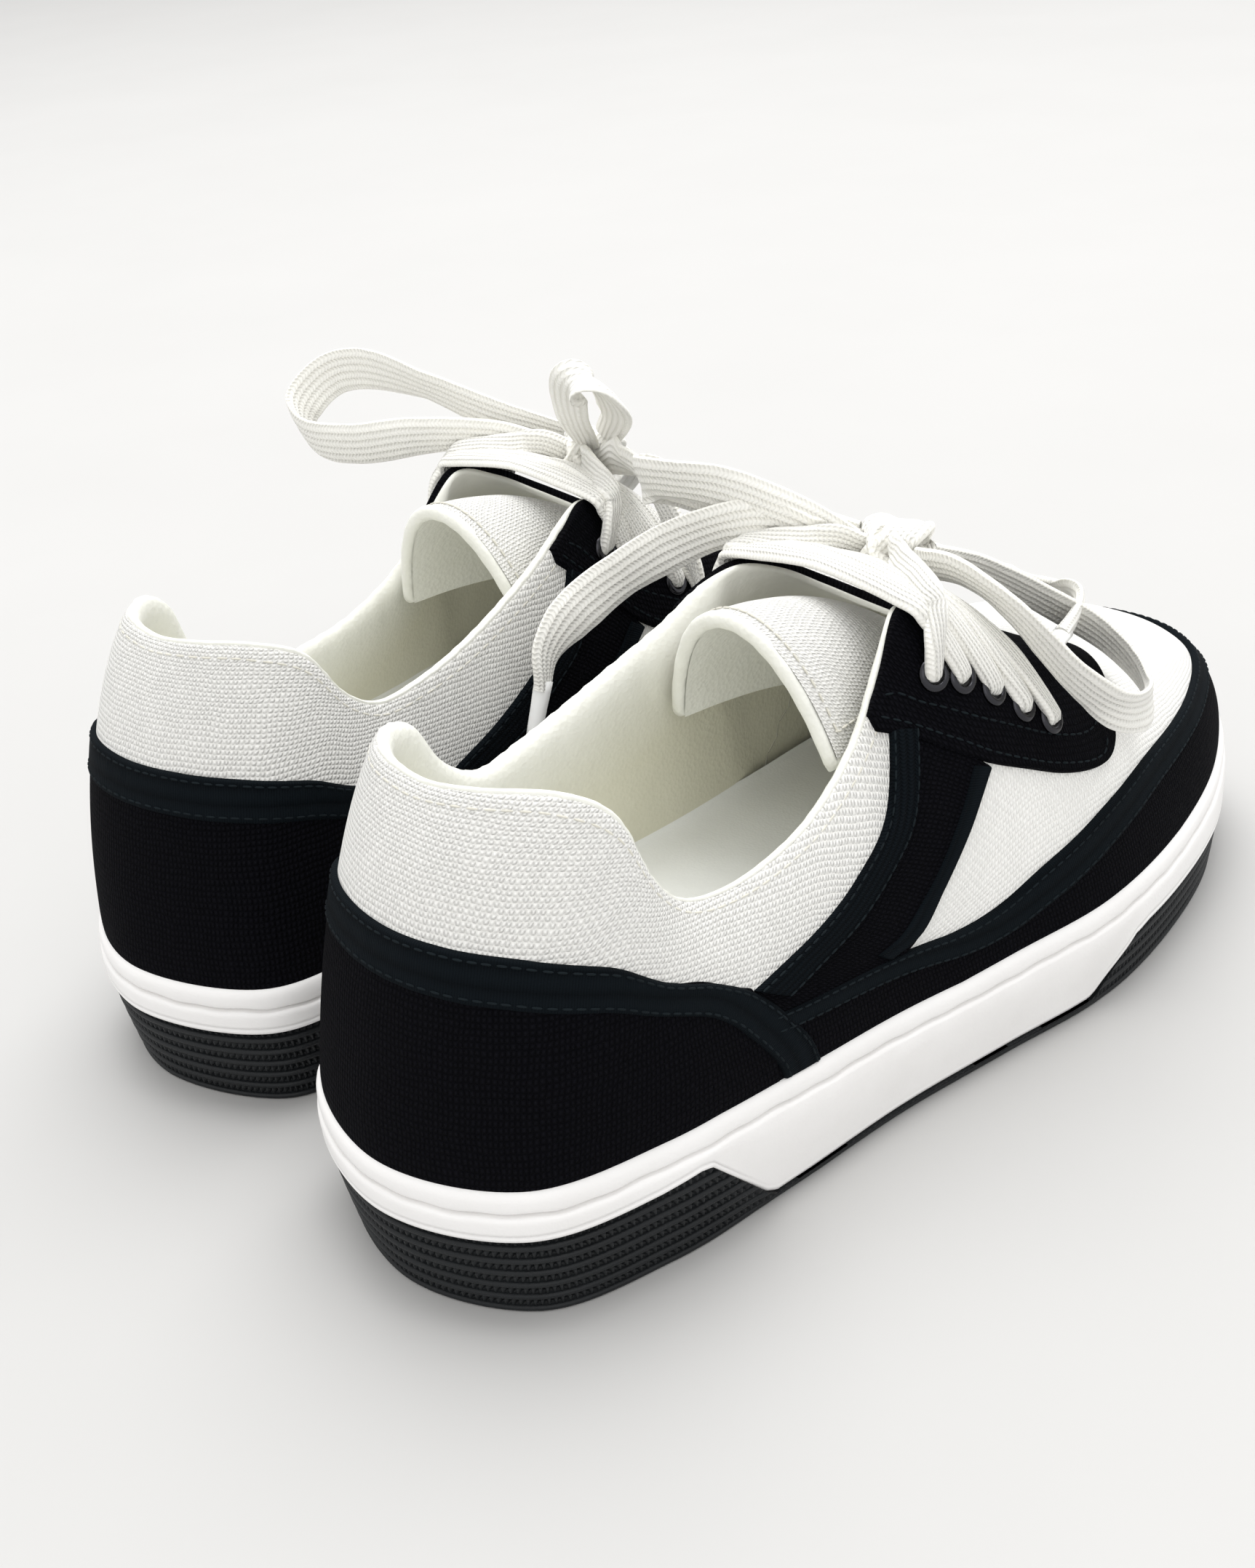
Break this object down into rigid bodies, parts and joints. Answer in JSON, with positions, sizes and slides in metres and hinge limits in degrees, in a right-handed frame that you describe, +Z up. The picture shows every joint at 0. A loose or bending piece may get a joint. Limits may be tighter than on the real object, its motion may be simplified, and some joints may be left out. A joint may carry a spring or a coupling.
{
  "type": "pair of canvas sneakers",
  "caption": "Pair of low canvas cheer sneakers with cupsoles, ribbon-trimmed overlays, arched tongues and tied flat laces.",
  "frame": {"origin": "centre of the pair's box on the ground, without the loose bow loops, tails and tips", "axes": "+Y from heels to toes, +X to the wearer's right, +Z up"},
  "size_m": [0.2409, 0.2906, 0.1404],
  "materials": {
    "black_rubber": "moulded, ribbed",
    "white_rubber": "satin",
    "foam": "open-cell foam",
    "white_leather": "smooth lining leather",
    "white_canvas": "coarse plain weave",
    "black_canvas": "plain weave",
    "ribbon": "grosgrain, stitched",
    "stiffener": "moulded sheet",
    "gunmetal": "dark plated",
    "lace": "flat braided cotton",
    "aglet": "clear-white film"
  },
  "bodies": {
    "right_shoe": {"right_outsole": "black_rubber", "right_foxing": "white_rubber", "right_midsole": "foam", "right_footbed": "white_leather", "right_vamp": "white_canvas", "right_mudguard": "black_canvas", "right_mudguard_ribbon": "ribbon", "right_eyestay_lateral": "black_canvas", "right_eyestay_medial": "black_canvas", "right_band_lateral": "black_canvas", "right_band_medial": "black_canvas", "right_band_ribbons": "ribbon", "right_collar": "white_canvas", "right_heel_counter": "black_canvas", "right_counter_ribbon": "ribbon", "right_stiffeners": "stiffener", "right_lining_lateral": "white_leather", "right_lining_medial": "white_leather", "right_topline_binding": "white_leather", "right_collar_foam": "foam", "right_eyelets": "gunmetal", "right_lace_rows": "lace", "right_lace_knot": "lace", "right_loop_a": "lace", "right_loop_b": "lace", "right_tail_a": "lace", "right_tail_b": "lace", "right_aglets": "aglet"},
    "right_tongue_flap": {"right_tongue": "white_canvas", "right_tongue_lining": "white_leather"},
    "left_shoe": {"left_outsole": "black_rubber", "left_foxing": "white_rubber", "left_midsole": "foam", "left_footbed": "white_leather", "left_vamp": "white_canvas", "left_mudguard": "black_canvas", "left_mudguard_ribbon": "ribbon", "left_eyestay_lateral": "black_canvas", "left_eyestay_medial": "black_canvas", "left_band_lateral": "black_canvas", "left_band_medial": "black_canvas", "left_band_ribbons": "ribbon", "left_collar": "white_canvas", "left_heel_counter": "black_canvas", "left_counter_ribbon": "ribbon", "left_stiffeners": "stiffener", "left_lining_lateral": "white_leather", "left_lining_medial": "white_leather", "left_topline_binding": "white_leather", "left_collar_foam": "foam", "left_eyelets": "gunmetal", "left_lace_rows": "lace", "left_lace_knot": "lace", "left_loop_a": "lace", "left_loop_b": "lace", "left_tail_a": "lace", "left_tail_b": "lace", "left_aglets": "aglet"},
    "left_tongue_flap": {"left_tongue": "white_canvas", "left_tongue_lining": "white_leather"}
  },
  "joints": [
    {"name": "left_shoe_aside", "type": "slide", "parent": "right_shoe", "child": "left_shoe", "axis": [-1, 0, 0], "range_m": [0, 0.2]},
    {"name": "right_tongue_fold", "type": "hinge", "parent": "right_shoe", "child": "right_tongue_flap", "pos_m": [0.05516, 0.05564, 0.0605], "axis": [0.9997, -0.0244, 0], "range_deg": [0, 10]},
    {"name": "left_tongue_fold", "type": "hinge", "parent": "left_shoe", "child": "left_tongue_flap", "pos_m": [-0.05516, 0.06524, 0.0605], "axis": [0.9997, 0.0244, 0], "range_deg": [0, 10]}
  ]
}
